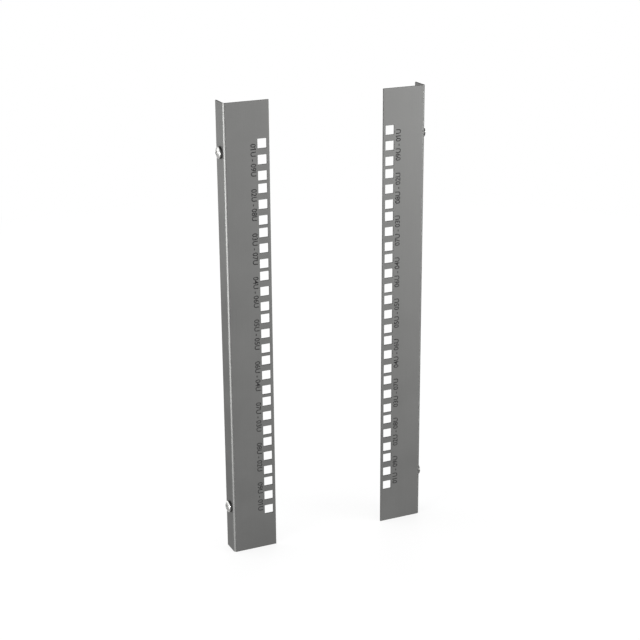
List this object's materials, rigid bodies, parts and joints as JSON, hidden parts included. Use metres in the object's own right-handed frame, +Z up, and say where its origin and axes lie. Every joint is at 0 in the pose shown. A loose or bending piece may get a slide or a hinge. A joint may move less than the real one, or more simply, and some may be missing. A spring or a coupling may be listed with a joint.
{
  "type": "rack mounting rail",
  "caption": "Pair of L-shaped folded steel rack rails with a column of square cage-nut holes in the rack unit pattern and screws with nuts through the side flange.",
  "frame": {"origin": "midway between the rails, at half their depth, level with their lower ends", "axes": "+X from the left rail to the right rail, +Y from the front face to the back, +Z up along the rails"},
  "size_m": [0.2256, 0.02, 0.4712],
  "materials": {
    "rail_steel": "satin zinc-plated sheet steel, faint rolling grain",
    "screw_steel": "bright nickel-plated steel",
    "nut_and_washer_steel": "zinc-plated steel"
  },
  "bodies": {
    "left_rail": {"left_rail": "rail_steel", "left_upper_washer": "nut_and_washer_steel", "left_lower_washer": "nut_and_washer_steel"},
    "right_rail": {"right_rail": "rail_steel", "right_upper_washer": "nut_and_washer_steel", "right_lower_washer": "nut_and_washer_steel"},
    "left_upper_screw": {"left_upper_screw": "screw_steel"},
    "left_upper_nut": {"left_upper_nut": "nut_and_washer_steel", "left_upper_spring_washer": "nut_and_washer_steel"},
    "left_lower_screw": {"left_lower_screw": "screw_steel"},
    "left_lower_nut": {"left_lower_nut": "nut_and_washer_steel", "left_lower_spring_washer": "nut_and_washer_steel"},
    "right_upper_screw": {"right_upper_screw": "screw_steel"},
    "right_upper_nut": {"right_upper_nut": "nut_and_washer_steel", "right_upper_spring_washer": "nut_and_washer_steel"},
    "right_lower_screw": {"right_lower_screw": "screw_steel"},
    "right_lower_nut": {"right_lower_nut": "nut_and_washer_steel", "right_lower_spring_washer": "nut_and_washer_steel"}
  },
  "joints": [
    {"name": "rail_spread", "type": "slide", "parent": "left_rail", "child": "right_rail", "axis": [1, 0, 0], "range_m": [0, 0.3275]},
    {"name": "left_upper_screw_turn", "type": "hinge", "parent": "left_rail", "child": "left_upper_screw", "pos_m": [-0.10825, -0.0005, 0.42225], "axis": [-1, 0, 0], "range_deg": [0, 1800]},
    {"name": "left_upper_nut_travel", "type": "slide", "parent": "left_rail", "child": "left_upper_nut", "axis": [1, 0, 0], "range_m": [0, 0.005]},
    {"name": "left_lower_screw_turn", "type": "hinge", "parent": "left_rail", "child": "left_lower_screw", "pos_m": [-0.10825, -0.0005, 0.049], "axis": [-1, 0, 0], "range_deg": [0, 1800]},
    {"name": "left_lower_nut_travel", "type": "slide", "parent": "left_rail", "child": "left_lower_nut", "axis": [1, 0, 0], "range_m": [0, 0.005]},
    {"name": "right_upper_screw_turn", "type": "hinge", "parent": "right_rail", "child": "right_upper_screw", "pos_m": [0.10825, -0.0005, 0.42225], "axis": [1, 0, 0], "range_deg": [0, 1800]},
    {"name": "right_upper_nut_travel", "type": "slide", "parent": "right_rail", "child": "right_upper_nut", "axis": [-1, 0, 0], "range_m": [0, 0.005]},
    {"name": "right_lower_screw_turn", "type": "hinge", "parent": "right_rail", "child": "right_lower_screw", "pos_m": [0.10825, -0.0005, 0.049], "axis": [1, 0, 0], "range_deg": [0, 1800]},
    {"name": "right_lower_nut_travel", "type": "slide", "parent": "right_rail", "child": "right_lower_nut", "axis": [-1, 0, 0], "range_m": [0, 0.005]}
  ],
  "couplings": [
    {"joint": "left_upper_nut_travel", "follows": "left_upper_screw_turn", "m_per_rad": 0.00015915},
    {"joint": "left_lower_nut_travel", "follows": "left_lower_screw_turn", "m_per_rad": 0.00015915},
    {"joint": "right_upper_nut_travel", "follows": "right_upper_screw_turn", "m_per_rad": 0.00015915},
    {"joint": "right_lower_nut_travel", "follows": "right_lower_screw_turn", "m_per_rad": 0.00015915}
  ]
}
